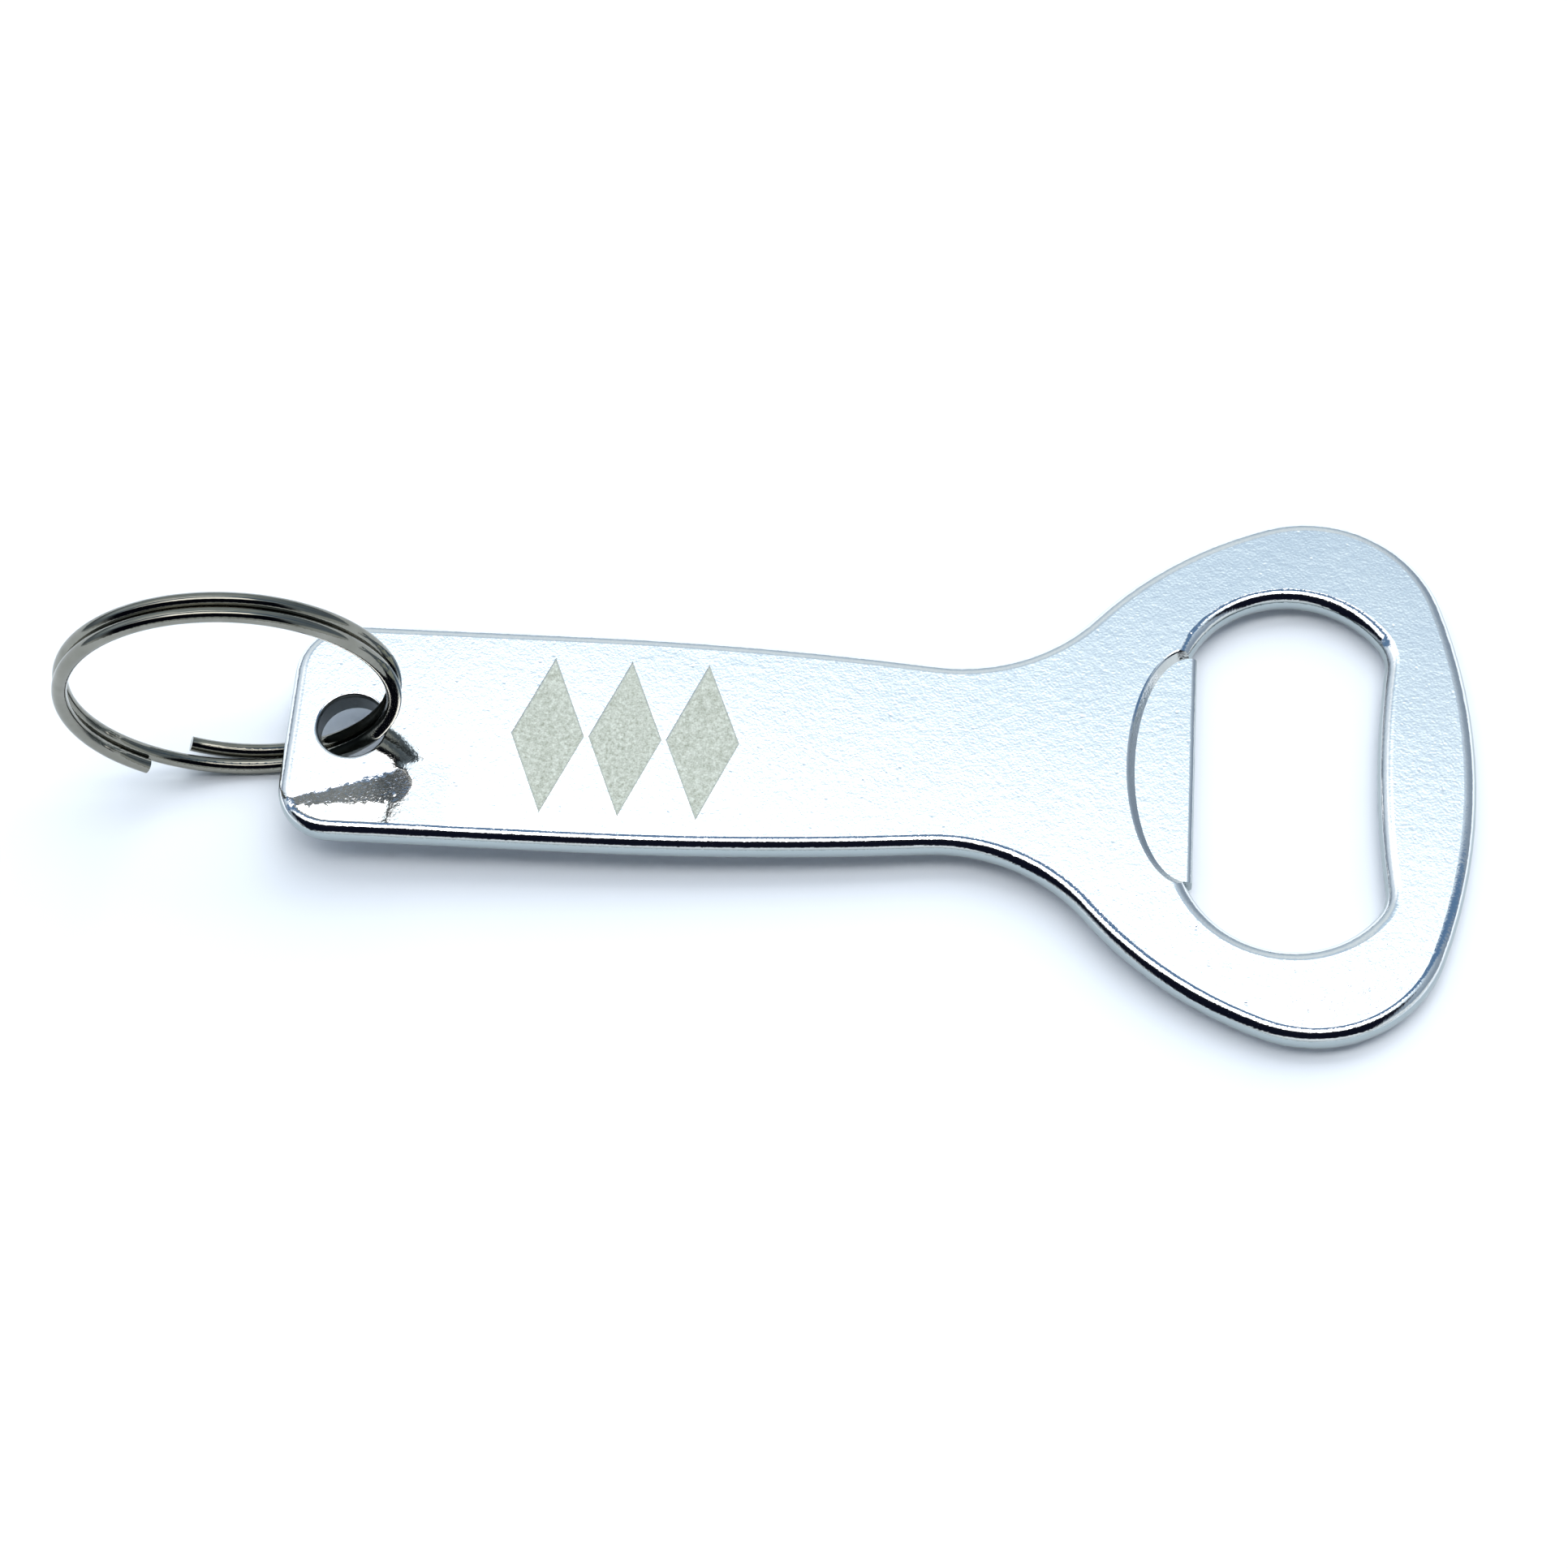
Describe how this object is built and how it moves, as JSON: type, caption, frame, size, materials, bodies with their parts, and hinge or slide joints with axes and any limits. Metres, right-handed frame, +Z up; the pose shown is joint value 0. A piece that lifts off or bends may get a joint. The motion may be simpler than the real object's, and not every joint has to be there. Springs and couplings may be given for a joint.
{
  "type": "keychain bottle opener",
  "caption": "Flat plated bottle opener with a waisted neck, a wide rounded head with a cap mouth, and a split ring through a hole in its handle.",
  "frame": {"origin": "centre of the whole pair's footprint, on the table that it lies on", "axes": "+X along the opener from the ring end to the cap mouth, +Z up from the table, +Y across the handle"},
  "size_m": [0.1054, 0.0442, 0.0257],
  "materials": {
    "bright_plating": "polished nickel-chrome plating on a stamped steel plate, fine plating specks and a faint orange peel",
    "nickel_wire": "bright nickel plating on steel wire, slightly warm, with fine drawing marks"
  },
  "bodies": {
    "opener": {"opener_plate": "bright_plating"},
    "key_ring": {"split_ring": "nickel_wire"}
  },
  "joints": [
    {"name": "ring_swing", "type": "hinge", "parent": "opener", "child": "key_ring", "pos_m": [-0.03189, -0.00066, 0.00359], "axis": [0.1075, -0.994, -0.0189], "range_deg": [-2, 95]}
  ]
}
